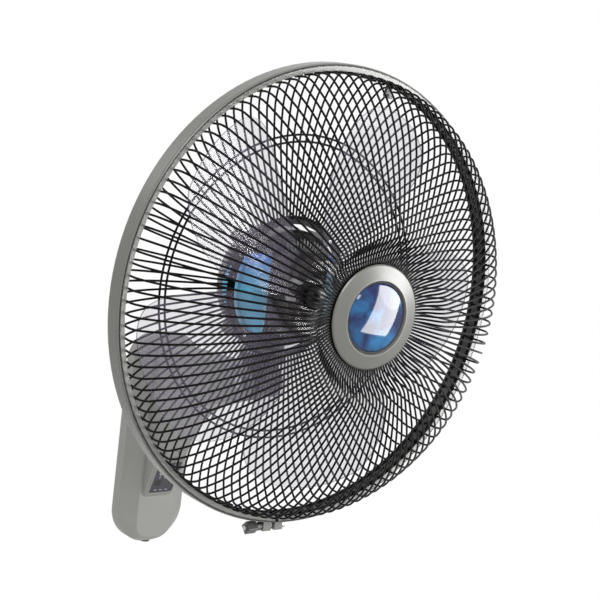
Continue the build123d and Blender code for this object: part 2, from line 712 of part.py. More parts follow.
def tilt_bolt():
    """Hinge bolt with a domed round head."""
    head_x = ARM_HALF + WASHER_T + SEAT
    knob = Pos(-head_x, HINGE_Y, HINGE_Z) * Rot(0, -90, 0) * Cylinder(7, 4.5, align=BASE)
    knob = fillet(knob.edges().group_by(Axis.X)[0], 2)
    return knob + rod(BOLT_R, (-head_x - 1, HINGE_Y, HINGE_Z), (ARM_HALF + 7, HINGE_Y, HINGE_Z))


def tilt_washers():
    """Two plain washers, one outside each ear of the arm."""
    low = ARM_HALF + SEAT / 2
    rings = []
    for start in (low, -low - WASHER_T):
        ring = rod(WASHER_R, (start, HINGE_Y, HINGE_Z), (start + WASHER_T, HINGE_Y, HINGE_Z))
        rings.append(ring - hinge_rod(BOLT_R + RUNNING))
    return Compound(children=rings)


def tilt_nut():
    start = ARM_HALF + WASHER_T + SEAT
    nut = extrude(Plane.YZ.offset(start) * Pos(HINGE_Y, HINGE_Z) * RegularPolygon(6.5, 6), 5.5)
    return nut - rod(BOLT_R, (0, HINGE_Y, HINGE_Z), (60, HINGE_Y, HINGE_Z))


# ---------------------------------------------------------------- swing drive
def crank_low():
    """Underside of the crank, midway between the slot plate and the swing case."""
    return (NECK_TOP_Z + SLOT_PLATE_T + CASE_FLOOR_Z - CRANK_T) / 2


def swing_crank():
    low = crank_low()
    pin_y = CRANK_Y - CRANK_ARM
    web = Pos(0, (CRANK_Y + pin_y) / 2) * SlotCenterToCenter(CRANK_ARM, 2 * CRANK_HUB_R, rotation=90)
    crank = Pos(0, 0, low) * extrude(web, CRANK_T)
    crank += upright_rod(CRANK_PIN_R, 0, pin_y, NECK_TOP_Z - 2.5, low + 0.5)
    crank += upright_rod(CRANK_PIN_R, 0, CRANK_Y, low, SWING_MOTOR_Z + 5)
    return crank


def swing_bush():
    bush = upright_rod(BUSH_R, 0, SWING_Y, CASE_FLOOR_Z, BUSH_TOP_Z)
    return bush - upright_rod(POST_R + RUNNING, 0, SWING_Y, CASE_FLOOR_Z - 1, BUSH_TOP_Z + 1)


def swing_case():
    """Bowl that turns on the post, with the upright that the fan motor is bolted to."""
    floor_top = CASE_FLOOR_Z + SWING_CASE_T
    rim_z = AXIS_Z - COVER_R + 3
    bowl = upright_rod(SWING_CASE_R, 0, SWING_Y, CASE_FLOOR_Z, rim_z)
    bowl -= upright_rod(SWING_CASE_R - SWING_CASE_T, 0, SWING_Y, floor_top, rim_z + 1)
    bowl += upright_rod(BUSH_R + 2.5, 0, SWING_Y, CASE_FLOOR_Z, BUSH_TOP_Z)
    for x in (-SWING_EAR_X, SWING_EAR_X):
        bowl += upright_rod(2.6, x, CRANK_Y, CASE_FLOOR_Z, SWING_MOTOR_Z - 0.1)
        bowl += upright_rod(1.5, x, CRANK_Y, CASE_FLOOR_Z, SWING_MOTOR_Z + 1.8)
    upright_y = LIP_Y + UPRIGHT_FRONT + UPRIGHT_T / 2
    plate_low = AXIS_Z - STATOR_SIDE / 2
    foot_h = plate_low + 1 - floor_top
    bowl += Pos(0, upright_y, floor_top) * Box(38, UPRIGHT_T, foot_h, align=BASE)
    bowl += Pos(0, upright_y, plate_low) * Box(STATOR_SIDE, UPRIGHT_T, STATOR_SIDE, align=BASE)
    bowl -= head(tube(CUP_WALL + BEARING_R + 1, 0, UPRIGHT_FRONT - 5, UPRIGHT_FRONT + 9))
    for x, y in motor_bolt_places():
        bowl -= head(rod(MOTOR_BOLT_R + SEAT, (x, y, -80), (x, y, -110)))
    for x in (-CAP_BOSS_X, CAP_BOSS_X):
        bowl -= head(rod(1.5, (x, 0, -80), (x, 0, -110)))
    bowl -= upright_rod(BUSH_R, 0, SWING_Y, CASE_FLOOR_Z - 1, BUSH_TOP_Z + 1)
    return bowl - upright_rod(CRANK_PIN_R + MOVING, 0, CRANK_Y, CASE_FLOOR_Z - 1, BUSH_TOP_Z + 1)


def swing_motor():
    """Small geared motor that turns the crank."""
    can = Pos(0, CRANK_Y, SWING_MOTOR_Z) * Cylinder(SWING_MOTOR_R - 4, SWING_MOTOR_H, align=BASE)
    can = fillet(can.edges().group_by(Axis.Z)[-1], 1)
    ears = SlotCenterToCenter(2 * SWING_EAR_X, 6)
    can += Pos(0, CRANK_Y, SWING_MOTOR_Z) * extrude(ears, 1)
    for x in (-SWING_EAR_X, SWING_EAR_X):
        can -= upright_rod(1.6, x, CRANK_Y, SWING_MOTOR_Z - 1, SWING_MOTOR_Z + 2)
    return can - upright_rod(CRANK_PIN_R + RUNNING, 0, CRANK_Y, SWING_MOTOR_Z - 1, SWING_MOTOR_Z + 6)


# ---------------------------------------------------------------- motor
def motor_bolt_places():
    """x, y in the head frame of the motor's through bolts."""
    return [(x, y) for x in (-MOTOR_BOLT_AT, MOTOR_BOLT_AT) for y in (-MOTOR_BOLT_AT, MOTOR_BOLT_AT)]


def cover_skin(gap, wall):
    """Turned skin over the front cover's form, gap outside it and wall thick."""
    def form(grow):
        radius = COVER_R + grow
        front = -COVER_FRONT + grow
        block = Pos(0, 0, front) * Cylinder(radius, 200 + front, align=CROWN)
        return fillet(block.edges().group_by(Axis.Z)[-1], COVER_SHOULDER + grow)
    return form(gap + wall) - form(gap)


def side_panel_zone(side, grow=0.0):
    """Round field of a side panel, seen from the side, in the head frame."""
    middle = (side * (SIDE_PANEL_INNER_X - grow), -SIDE_PANEL_DROP, -SIDE_PANEL_DEPTH)
    far = (side * 90, -SIDE_PANEL_DROP, -SIDE_PANEL_DEPTH)
    return rod(SIDE_PANEL_R + grow, middle, far)


def swing_case_hole():
    return upright_rod(SWING_CASE_R + 0.4, 0, SWING_Y, CASE_FLOOR_Z - 20, AXIS_Z - 30)


def motor_front_cover():
    """Black housing front: round shoulders, and a ring of radial vents in its face."""
    cover = cover_skin(-COVER_WALL, COVER_WALL)
    cover -= Pos(0, 0, -COVER_SEAM - COVER_LAP) * Cylinder(100, 200, align=CROWN)
    cover -= tube(CUP_WALL + BEARING_R + 1, 0, 0, 60)
    slot = Pos((VENT_INNER_R + VENT_OUTER_R) / 2, 0, -COVER_FRONT)
    slot = slot * Box(VENT_OUTER_R - VENT_INNER_R, VENT_W, 14)
    for i in range(VENT_COUNT):
        angle = 360 / VENT_COUNT * (i + 0.5)
        if abs(math.cos(math.radians(angle))) * VENT_OUTER_R < SIDE_PANEL_INNER_X - 2:
            cover -= Rot(0, 0, angle) * slot
    for x, y in motor_bolt_places():
        cover -= rod(3.2, (x, y, 0), (x, y, -60))
    return head(cover) - swing_case_hole()


def side_panel(side):
    """Glossy panel wrapped over one shoulder of the motor housing."""
    skin = cover_skin(0.15, PANEL_T)
    skin = skin & side_panel_zone(side)
    return head(skin & (Pos(0, 0, -COVER_SEAM + 0.4) * Cylinder(100, 200, align=BASE)))


def motor_rear_cover():
    """Domed rear cap over the motor, open below for the swing case, with the guard's lugs."""
    def form(grow):
        block = Pos(0, 0, -CAP_BACK - grow) * Cylinder(CAP_R + grow, CAP_BACK + grow, align=BASE)
        return fillet(block.edges().group_by(Axis.Z)[0], CAP_ROUND + grow)
    cap = form(0) - form(-COVER_WALL)
    cap -= Pos(0, 0, -COVER_SEAM) * Cylinder(100, 200, align=BASE)
    back = PLATE_BACK
    lug = Box(LUG_OUTER_R - CAP_R + 1, LUG_W, COVER_SEAM + 8 - back, align=(
        Align.MAX, Align.CENTER, Align.MAX))
    hole = rod(1.6, (GUARD_SCREW_R, 0, -back + 1), (GUARD_SCREW_R, 0, -back - 10))
    for angle in LUG_ANGLES:
        cap += Rot(0, 0, angle) * (Pos(LUG_OUTER_R, 0, -back) * lug - hole)
    for x in (-CAP_BOSS_X, CAP_BOSS_X):
        cap += rod(CAP_BOSS_R, (x, 0, -UPRIGHT_BACK - SEAT / 2), (x, 0, -CAP_BACK + 1))
        cap -= rod(1.6, (x, 0, -UPRIGHT_FRONT), (x, 0, -CAP_BACK - 1))
        cap -= rod(2.8, (x, 0, -CAP_SCREW_SEAT), (x, 0, -CAP_BACK - 1))
    return head(cap) - swing_case_hole()


def stator_core():
    """Square stack of laminations with a round bore and eight winding slots."""
    core = RectangleRounded(STATOR_SIDE, STATOR_SIDE, 6)
    core -= Circle(ROTOR_R + AIR_GAP)
    for i in range(8):
        core -= Rot(0, 0, 22.5 + 45 * i) * Pos(ROTOR_R + 6, 0) * Rectangle(13, 7)
    for x, y in motor_bolt_places():
        core -= Pos(x, y) * Circle(MOTOR_BOLT_R + SEAT)
    return head(Pos(0, 0, -STATOR_BACK) * extrude(core, STATOR_BACK - STATOR_FRONT))


def stator_windings():
    """Copper coils in the slots, joined by their end turns."""
    bars = [Rot(0, 0, 22.5 + 45 * i) * Pos(ROTOR_R + 7, 0, -STATOR_BACK - 1)
            * Box(9, 6.4, STATOR_BACK - STATOR_FRONT + 2, align=BASE) for i in range(8)]
    coil = tube(ROTOR_R + 12, ROTOR_R + 3, STATOR_FRONT - 4.5, STATOR_FRONT - 0.3)
    coil += tube(ROTOR_R + 12, ROTOR_R + 3, STATOR_BACK + 0.3, STATOR_BACK + 4.5)
    for bar in bars:
        coil += bar
    return head(coil)


def end_shield(front, back, cup_front, cup_back):
    """Pressed end plate with a cup for its bearing."""
    plate = RectangleRounded(STATOR_SIDE, STATOR_SIDE, 6)
    for x, y in motor_bolt_places():
        plate -= Pos(x, y) * Circle(MOTOR_BOLT_R + SEAT)
    shield = Pos(0, 0, -back) * extrude(plate, back - front)
    shield += tube(BEARING_R + CUP_WALL, 0, cup_front, cup_back)
    for x, y in motor_bolt_places():
        shield += spacer_leg(x, y, front, back)
    return shield


def spacer_leg(x, y, front, back):
    """Short leg that stands an end shield off the laminations."""
    start = back if front < STATOR_FRONT else STATOR_BACK
    end = STATOR_FRONT if front < STATOR_FRONT else front
    leg = rod(MOTOR_BOLT_R + 2, (x, y, -start), (x, y, -end))
    return leg - rod(MOTOR_BOLT_R + SEAT, (x, y, 0), (x, y, -120))


def front_end_shield():
    front = SHIELD_FRONT
    cup_back = front + SHIELD_T
    shield = end_shield(front, cup_back, cup_back - BEARING_W - CUP_WALL, cup_back)
    shield -= tube(BEARING_R, 0, cup_back - BEARING_W, cup_back + 1)
    return head(shield - tube(SHAFT_R + 1, 0, 0, 60))


def rear_end_shield():
    back = SHIELD_REAR
    cup_front = back - SHIELD_T
    shield = end_shield(cup_front, back, cup_front, cup_front + BEARING_W + CUP_WALL)
    shield -= tube(BEARING_R, 0, cup_front - 1, cup_front + BEARING_W)
    return head(shield - tube(SHAFT_R + 1, 0, 70, 120))


def bearing(front):
    """Sealed ball bearing as one closed ring."""
    ring = tube(BEARING_R, SHAFT_R + RUNNING, front, front + BEARING_W)
    for depth in (front, front + BEARING_W - 0.4):
        ring -= tube(BEARING_R - 1.6, SHAFT_R + 1.6, depth - 0.01, depth + 0.41)
    return head(ring)


def motor_bolts():
    """Through bolts from the front shield to the swing case's upright, with their nuts."""
    front = SHIELD_FRONT
    back = UPRIGHT_FRONT + UPRIGHT_T
    bolts = []
    for x, y in motor_bolt_places():
        bolt = rod(MOTOR_BOLT_R, (x, y, -front), (x, y, -back - 4))
        bolt += Pos(x, y, -front) * Cylinder(3.6, 2.6, align=BASE)
        bolt += Pos(x, y, -back - 3.2) * extrude(RegularPolygon(3.9, 6), 3.2)
        sleeve = rod(MOTOR_BOLT_R + 1.4, (x, y, -SHIELD_REAR - 0.05), (x, y, -UPRIGHT_FRONT))
        bolts.append(head(bolt + sleeve))
    return Compound(children=bolts)


def motor_shaft():
    shaft = tube(SHAFT_R, 0, SHAFT_FRONT, SHAFT_REAR)
    shaft = chamfer(shaft.edges().group_by(Axis.Z)[0] + shaft.edges().group_by(Axis.Z)[-1], 0.6)
    return head(shaft - rod(1.5, (-10, 0, -PIN_DEPTH), (10, 0, -PIN_DEPTH)))


def drive_pin():
    """Cross pin in the shaft that drives the hub."""
    return head(rod(1.5, (-8, 0, -PIN_DEPTH), (8, 0, -PIN_DEPTH)))


def rotor_core():
    """Laminated rotor with its cast end rings."""
    core = tube(ROTOR_R, SHAFT_R, STATOR_FRONT, STATOR_BACK)
    core += tube(ROTOR_R - 2, ROTOR_R - 8, STATOR_FRONT - 3, STATOR_FRONT)
    return head(core + tube(ROTOR_R - 2, ROTOR_R - 8, STATOR_BACK, STATOR_BACK + 3))


# ---------------------------------------------------------------- blades
def polar(degrees, radius):
    return (radius * math.cos(math.radians(degrees)), radius * math.sin(math.radians(degrees)))


def blade_outline():
    """Front view of one blade about the fan axis, its middle on the x axis."""
    rear_edge = Spline(polar(31, 38), polar(32, 100), polar(27, 136), polar(18, 176), polar(9, 197))
    tip = ThreePointArc(rear_edge @ 1, polar(-6, BLADE_R), polar(-19, 196))
    front_edge = Spline(tip @ 1, polar(-27, 180), polar(-31, 130), polar(-33, 80), polar(-34, 38))
    root = ThreePointArc(front_edge @ 1, (38, 0), rear_edge @ 0)
    return make_face(rear_edge + tip + front_edge + root)


def blade_section(x, half, pitch, camber):
    """Thin cambered strip across the blade at one distance from the fan axis."""
    under = ThreePointArc((-half, 0), (0, camber), (half, 0))
    over = ThreePointArc((half, BLADE_T), (0, camber + BLADE_T), (-half, BLADE_T))
    ends = Line(under @ 1, over @ 0) + Line(over @ 1, under @ 0)
    strip = make_face(under + over + ends)
    plane = Plane(origin=(x, 0, -BLADE_MIDDLE), x_dir=(0, 1, 0), z_dir=(1, 0, 0))
    return plane * Rot(0, 0, pitch) * strip


def fan_blades():
    """One moulding: a dished hub with its boss, and five pitched blades."""
    stations = ((36, 34, 33, 3), (90, 66, 25, 5), (145, 98, 18, 7), (206, 110, 12, 7))
    sheet = loft([blade_section(*station).face() for station in stations])
    column = Pos(0, 0, -60) * extrude(blade_outline(), 100)
    blade = sheet & column
    hub = turned((HUB_R - HUB_WALL, -HUB_REAR), (HUB_R, -HUB_REAR), (HUB_R, -HUB_FRONT - 4),
                 (HUB_R - 4, -HUB_FRONT), (28, -HUB_FRONT), (17, -HUB_DISH), (SHAFT_R, -HUB_DISH),
                 (SHAFT_R, -HUB_REAR), (HUB_BOSS_R, -HUB_REAR), (HUB_BOSS_R, -HUB_DISH - HUB_WALL),
                 (18.5, -HUB_DISH - HUB_WALL), (29, -HUB_FRONT - HUB_WALL),
                 (HUB_R - 5, -HUB_FRONT - HUB_WALL), (HUB_R - HUB_WALL, -HUB_FRONT - 5))
    core = tube(HUB_R - HUB_WALL, 0, -20, 60)
    fan = hub
    for i in range(BLADE_COUNT):
        fan += Rot(0, 0, FIRST_BLADE + 360 / BLADE_COUNT * i) * (blade - core)
    fan -= Pos(0, 0, -PIN_DEPTH - 5) * Box(17, 3.2, 13)
    return head(fan)


def blade_nut():
    """Round nut in the hub's dish, with a grip."""
    nut = turned((SHAFT_R, -HUB_DISH + 0.1), (NUT_R, -HUB_DISH + 0.1), (NUT_R, -HUB_DISH + 6),
                 (NUT_R - 4, -HUB_DISH + 11), (0, -HUB_DISH + 13), (0, -HUB_DISH + 11.5),
                 (SHAFT_R, -HUB_DISH + 11.5))
    groove = Pos(NUT_R + 0.4, 0, -HUB_DISH) * Cylinder(1.2, 20)
    for i in range(12):
        nut -= Rot(0, 0, 30 * i) * groove
    return head(nut)


# ---------------------------------------------------------------- guards
def front_guard_rings():
    """Rim wire in the band, and the inner ring under the badge."""
    rim = head(wire_ring(RIM_R, RIM_WIRE_R, -BAND_WALL - SEAT - RIM_WIRE_R))
    inner_r = FRONT_PROFILE[-1][0] + 2
    inner_forward = wire_at(FRONT_PROFILE, inner_r) - WIRE_R - INNER_WIRE_R + WELD
    inner = head(wire_ring(inner_r, INNER_WIRE_R, inner_forward))
    return Compound(children=[rim, inner])


def rear_guard_rings():
    """Rim wire in the band, and two support rings on the inside of the wires."""
    rim = head(wire_ring(RIM_R, RIM_WIRE_R, -BAND_DEPTH + BAND_WALL + SEAT + RIM_WIRE_R))
    rings = [rim]
    for radius in (SUPPORT_R - SUPPORT_STEP, SUPPORT_R):
        forward = wire_at(REAR_PROFILE, radius) + WIRE_R + SUPPORT_WIRE_R - WELD
        rings.append(head(wire_ring(radius, SUPPORT_WIRE_R, forward)))
    return Compound(children=rings)


def rear_guard_plate():
    """Pressed centre ring that the rear wires are welded to, on the motor's lugs."""
    plate = tube(PLATE_OUTER_R, PLATE_INNER_R, PLATE_FRONT, PLATE_BACK - 0.1)
    hole = rod(1.8, (GUARD_SCREW_R, 0, -PLATE_FRONT + 5), (GUARD_SCREW_R, 0, -PLATE_BACK - 5))
    for angle in LUG_ANGLES:
        plate -= Rot(0, 0, angle) * hole
    return head(plate)


def head_screws():
    """Screws of the rear guard's centre plate and of the rear cap, all of one kind."""
    short = screw(2.2, 1.6, 1.4, 9)
    seat = Pos(GUARD_SCREW_R, 0, -PLATE_FRONT + 0.05)
    screws = [head(Rot(0, 0, angle) * seat * short) for angle in LUG_ANGLES]
    for x in (-CAP_BOSS_X, CAP_BOSS_X):
        screws.append(head(Pos(x, 0, -CAP_SCREW_SEAT - 0.05) * Rot(180, 0, 0) * short))
    return Compound(children=screws)


def guard_band():
    """Split channel that holds both rim wires, with a lug at each end for the clamp."""
    rib_front = BAND_WALL + 2 * SEAT + 2 * RIM_WIRE_R
    rib_back = BAND_DEPTH - rib_front
    inner = BAND_R - BAND_WALL
    band = turned((BAND_LIP_R, 0), (BAND_R, 0), (BAND_R, -BAND_DEPTH), (BAND_LIP_R, -BAND_DEPTH),
                  (BAND_LIP_R, -BAND_DEPTH + BAND_WALL), (inner, -BAND_DEPTH + BAND_WALL),
                  (inner, -rib_back), (BAND_RIB_R, -rib_back), (BAND_RIB_R, -rib_front),
                  (inner, -rib_front), (inner, -BAND_WALL), (BAND_LIP_R, -BAND_WALL),
                  rim_round=BAND_ROUND)
    low = -math.sqrt(BAND_R ** 2 - CLAMP_X ** 2)
    lugs = Pos(CLAMP_X, low - CLAMP_LUG_H / 2 + 2.5, -BAND_DEPTH / 2)
    lugs = lugs * Box(2 * CLAMP_LUG_W + CLAMP_GAP, CLAMP_LUG_H + 3, CLAMP_LUG_DEPTH)
    lugs -= tube(BAND_R - 1, 0, -5, 30)
    band += lugs
    band -= Pos(CLAMP_X, low, -BAND_DEPTH / 2) * Box(CLAMP_GAP, 60, 40)
    start, end = clamp_line()
    return head(band - rod(CLAMP_SCREW_R + SEAT, (start, clamp_y(), -BAND_DEPTH / 2),
                           (end, clamp_y(), -BAND_DEPTH / 2)))


def clamp_y():
    """Height of the clamp's screw in the head frame."""
    return -math.sqrt(BAND_R ** 2 - CLAMP_X ** 2) - CLAMP_LUG_H / 2


def clamp_line():
    """x of the two ends of the clamp's screw."""
    return (CLAMP_X - 32, CLAMP_X + 17)


def clamp_screw():
    start, end = clamp_line()
    bar = rod(CLAMP_SCREW_R, (start, clamp_y(), -BAND_DEPTH / 2), (end, clamp_y(), -BAND_DEPTH / 2))
    lug_end = CLAMP_X + CLAMP_GAP / 2 + CLAMP_LUG_W + 0.1
    bar += rod(CLAMP_HEAD_R, (lug_end, clamp_y(), -BAND_DEPTH / 2), (lug_end + 4, clamp_y(), -BAND_DEPTH / 2))
    return head(bar)


def clamp_nut():
    """Square nut and its spacer, outside the left lug."""
    start = clamp_line()[0]
    lug_end = CLAMP_X - CLAMP_GAP / 2 - CLAMP_LUG_W - 0.1
    nut = Plane(origin=(start + 2, clamp_y(), -BAND_DEPTH / 2), x_dir=(0, 1, 0), z_dir=(1, 0, 0))
    block = extrude(nut * Rot(0, 0, 45) * RectangleRounded(CLAMP_NUT, CLAMP_NUT, 1), 11)
    spacer = rod(4.2, (start + 6, clamp_y(), -BAND_DEPTH / 2), (lug_end, clamp_y(), -BAND_DEPTH / 2))
    bore = rod(CLAMP_SCREW_R, (start - 5, clamp_y(), -BAND_DEPTH / 2), (0, clamp_y(), -BAND_DEPTH / 2))
    return head(block + spacer - bore)


def guard_hook():
    """Small hook on the band's rib that hangs the front guard while the clamp is open."""
    outer = BAND_RIB_R - SEAT / 2
    hook = Pos(outer - HOOK_STEM / 2, 0, -BAND_DEPTH / 2) * Box(HOOK_STEM, 6, 4)
    hook += Pos(outer - HOOK_STEM, 0, -BAND_DEPTH / 2 + 3) * Box(3, 6, 8)
    return head(Rot(0, 0, HOOK_ANGLE) * hook)


# ---------------------------------------------------------------- badge
def badge_ring():
    """Conical ring with a bevelled inner edge and a seat for the lens."""
    ring = turned((0, BADGE_BACK), (BADGE_R - 1, BADGE_BACK), (BADGE_R, BADGE_BACK + 1),
                  (BADGE_R, BADGE_FACE - 1), (BADGE_R - 1.2, BADGE_FACE), (GEM_R + 4.2, BADGE_FACE + 3.2),
                  (GEM_R + 3, BADGE_FACE + 3.4), (GEM_R + 2, BADGE_FACE + 1.5),
                  (GEM_R + 1.8, BADGE_BACK + 1.8), (0, BADGE_BACK + 1.8))
    for i in range(3):
        ring += Rot(0, 0, 30 + 120 * i) * rod(2.2, (38, 0, BADGE_BACK + 0.5), (38, 0, 73.0))
    return head(ring)


def badge_gem():
    """Domed lens with a chamfered edge."""
    seat = BADGE_BACK + 2.0
    rise = GEM_CROWN - GEM_EDGE
    edge_r = GEM_R - 1.5
    dome_r = (edge_r ** 2 + rise ** 2) / (2 * rise)
    dome = Pos(0, 0, GEM_CROWN - dome_r) * Sphere(dome_r)
    body = turned((0, seat), (GEM_R, seat), (GEM_R, GEM_EDGE - 1.5), (edge_r, GEM_EDGE),
                  (edge_r, GEM_CROWN), (0, GEM_CROWN))
    return head(body & dome)


def badge_back():
    """Retainer behind the wires' inner ends, pressed on the badge's three pegs."""
    top = FRONT_PROFILE[-1][1] - WIRE_R - 3.2
    plate = tube(49.0, 30.0, -top, -top + 2.5)
    for i in range(3):
        plate -= Rot(0, 0, 30 + 120 * i) * rod(2.2, (38, 0, 90), (38, 0, 60))
    return head(plate)


# ---------------------------------------------------------------- the pieces, by name
def pieces():
    made = {
        "wall_bracket": wall_bracket(), "rear_case": rear_case(), "front_case": front_case(),
        "arm_cover": arm_cover(), "case_screws": case_screws(), "cord_gland": cord_gland(),
        "terminal_block": terminal_block(), "run_capacitor": run_capacitor(),
        "control_board": control_board(), "board_screws": board_screws(),
        "tact_switches": tact_switches(), "control_label": control_label(),
        "ir_window": ir_window(), "led_lenses": led_lenses(),
        "tilt_bracket": tilt_bracket(), "tilt_bolt": tilt_bolt(), "tilt_nut": tilt_nut(),
        "tilt_washers": tilt_washers(), "neck_housing": neck_housing(),
        "swing_slot_plate": swing_slot_plate(), "swing_post": swing_post(),
        "post_clip": post_clip(), "swing_crank": swing_crank(), "swing_case": swing_case(),
        "swing_bush": swing_bush(), "swing_motor": swing_motor(),
        "motor_front_cover": motor_front_cover(), "motor_rear_cover": motor_rear_cover(),
        "side_panel_left": side_panel(-1), "side_panel_right": side_panel(1),
        "stator_core": stator_core(), "stator_windings": stator_windings(),
        "front_end_shield": front_end_shield(), "rear_end_shield": rear_end_shield(),
        "front_bearing": bearing(SHIELD_FRONT + SHIELD_T - BEARING_W),
        "rear_bearing": bearing(SHIELD_REAR - SHIELD_T),
        "motor_bolts": motor_bolts(), "motor_shaft": motor_shaft(), "drive_pin": drive_pin(),
        "rotor_core": rotor_core(), "fan_blades": fan_blades(), "blade_nut": blade_nut(),
        "rear_guard_wires": guard_wires(REAR_PROFILE), "rear_guard_rings": rear_guard_rings(),
        "rear_guard_plate": rear_guard_plate(), "head_screws": head_screws(),
        "guard_band": guard_band(), "clamp_screw": clamp_screw(), "clamp_nut": clamp_nut(),
        "guard_hook": guard_hook(), "front_guard_wires": guard_wires(FRONT_PROFILE),
        "front_guard_rings": front_guard_rings(), "badge_ring": badge_ring(),
        "badge_gem": badge_gem(), "badge_back": badge_back(),
    }
    for name, (x, y) in button_places().items():
        made[name] = push_button(x, y)
    return made


os.makedirs("parts", exist_ok=True)
for name, shape in pieces().items():
    export_step(shape, f"parts/{name}.step")
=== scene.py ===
import bmesh
import bpy
import json
import math
from mathutils import Matrix, Vector


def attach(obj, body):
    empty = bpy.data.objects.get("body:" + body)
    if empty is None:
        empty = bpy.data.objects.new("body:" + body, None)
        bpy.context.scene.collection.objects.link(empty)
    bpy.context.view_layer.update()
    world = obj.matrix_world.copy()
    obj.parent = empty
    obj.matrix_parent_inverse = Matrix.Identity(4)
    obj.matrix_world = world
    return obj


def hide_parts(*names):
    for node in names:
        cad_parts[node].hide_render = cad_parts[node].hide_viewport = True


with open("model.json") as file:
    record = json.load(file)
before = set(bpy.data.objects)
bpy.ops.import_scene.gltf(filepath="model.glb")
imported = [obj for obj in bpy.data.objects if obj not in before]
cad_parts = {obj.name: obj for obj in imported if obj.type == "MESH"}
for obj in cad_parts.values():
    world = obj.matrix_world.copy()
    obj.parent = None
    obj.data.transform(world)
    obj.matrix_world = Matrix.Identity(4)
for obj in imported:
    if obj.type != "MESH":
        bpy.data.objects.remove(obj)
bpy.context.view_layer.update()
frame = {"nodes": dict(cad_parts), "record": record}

MM = 0.001

# ---------------------------------------------------------------- camera and studio
FAN_CENTRE = Vector((0, -0.270, 0.165))     # where the fan axis meets the guard band's front
VIEW_TURN = math.radians(-38.63)            # the camera stands this far round from straight ahead
VIEW_RISE = math.radians(9.91)
VIEW_ROLL = math.radians(7.0)
LENS_MM = 96.0
SENSOR_MM = 36.0
IMAGE_PX = 600
RING_SEEN_PX = 226.5                        # half the guard band's height in the image
CENTRE_SEEN_PX = (320.1, 298.8)
RING_R = 222 * MM
FLOOR_Z = -0.42
FLOOR_HALF = 6.0
SURROUNDINGS = 0.50                         # how strongly the pale surroundings light the fan


def linear(hex_colour, alpha=1.0):
    """sRGB hex colour as linear light."""
    parts = [int(hex_colour[i:i + 2], 16) / 255 for i in (1, 3, 5)]
    return [c / 12.92 if c <= 0.04045 else ((c + 0.055) / 1.055) ** 2.4 for c in parts] + [alpha]


def add(tree, kind, sockets=None, **settings):
    """Adds a node, and gives its sockets their values or links."""
    made = tree.nodes.new("ShaderNode" + kind)
    for name, value in settings.items():
        setattr(made, name, value)
    for name, value in (sockets or {}).items():
        if isinstance(value, bpy.types.NodeSocket):
            tree.links.new(value, made.inputs[name])
        else:
            made.inputs[name].default_value = value
    return made


def place_camera():
    """Looks from the photograph's place, with its roll."""
    turn, rise = VIEW_TURN, VIEW_RISE
    back = Vector((math.sin(turn) * math.cos(rise), -math.cos(turn) * math.cos(rise), math.sin(rise)))
    level = Vector((math.cos(turn), math.sin(turn), 0))
    over = back.cross(level)
    right = math.cos(VIEW_ROLL) * level + math.sin(VIEW_ROLL) * over
    up = back.cross(right)
    focal_px = LENS_MM / SENSOR_MM * IMAGE_PX
    distance = focal_px / RING_SEEN_PX * RING_R
    across = (CENTRE_SEEN_PX[0] - IMAGE_PX / 2) / focal_px * distance
    down = (CENTRE_SEEN_PX[1] - IMAGE_PX / 2) / focal_px * distance
    data = bpy.data.cameras.new("camera")
    data.lens = LENS_MM
    data.sensor_width = SENSOR_MM
    camera = bpy.data.objects.new("camera", data)
    bpy.context.scene.collection.objects.link(camera)
    place = FAN_CENTRE + back * distance - right * across + up * down
    turned = Matrix((right, up, back)).transposed().to_4x4()
    camera.matrix_world = Matrix.Translation(place) @ turned
    bpy.context.scene.camera = camera


def area_light(name, place, size, watts):
    """Round soft lamp that faces the fan."""
    data = bpy.data.lights.new(name, "AREA")
    data.shape = "DISK"
    data.size = size
    data.energy = watts
    lamp = bpy.data.objects.new(name, data)
    bpy.context.scene.collection.objects.link(lamp)
    lamp.location = place
    lamp.rotation_euler = (FAN_CENTRE - Vector(place)).to_track_quat("-Z", "Y").to_euler()
    return lamp


def window_light():
    """Tall window, leaning in the view, which only shows as a reflection in polished pieces."""
    window = area_light("window", (1.10, -1.40, -0.04), size=0.80, watts=58)
    window.data.shape = "RECTANGLE"
    window.data.size_y = 1.7
    window.rotation_euler.rotate_axis("Z", math.radians(-24))
    window.visible_diffuse = False


def white_where_seen(tree):
    """1 for rays from the camera and those through clear or polished surfaces."""
    path = add(tree, "LightPath")
    either = add(tree, "Math", {0: path.outputs["Is Camera Ray"], 1: path.outputs["Is Transmission Ray"]},
                 operation="MAXIMUM")
    return add(tree, "Math", {0: either.outputs[0], 1: path.outputs["Is Glossy Ray"]},
               operation="MAXIMUM").outputs[0]


def pale_surroundings():
    """Even light from all round, white where it is looked at."""
    world = bpy.data.worlds.new("studio")
    bpy.context.scene.world = world
    world.use_nodes = True
    tree = world.node_tree
    tree.nodes.clear()
    seen = white_where_seen(tree)
    dim = add(tree, "Background", {"Color": linear("#ffffff"), "Strength": SURROUNDINGS})
    white = add(tree, "Background", {"Color": linear("#ffffff"), "Strength": 1.0})
    mixed = add(tree, "MixShader", {0: seen, 1: dim.outputs[0], 2: white.outputs[0]})
    add(tree, "OutputWorld", {"Surface": mixed.outputs[0]})


def light_studio():
    """Large lamp ahead on the left, a weaker one on the right, and a faint one behind."""
    area_light("key", (-0.6, -1.9, 1.4), size=1.0, watts=30)
    area_light("fill", (1.5, -1.3, 0.6), size=1.2, watts=11)
    area_light("rim", (-0.9, 0.7, 1.1), size=0.8, watts=3)
    window_light()
    pale_surroundings()
    bpy.context.scene.view_settings.view_transform = "Standard"


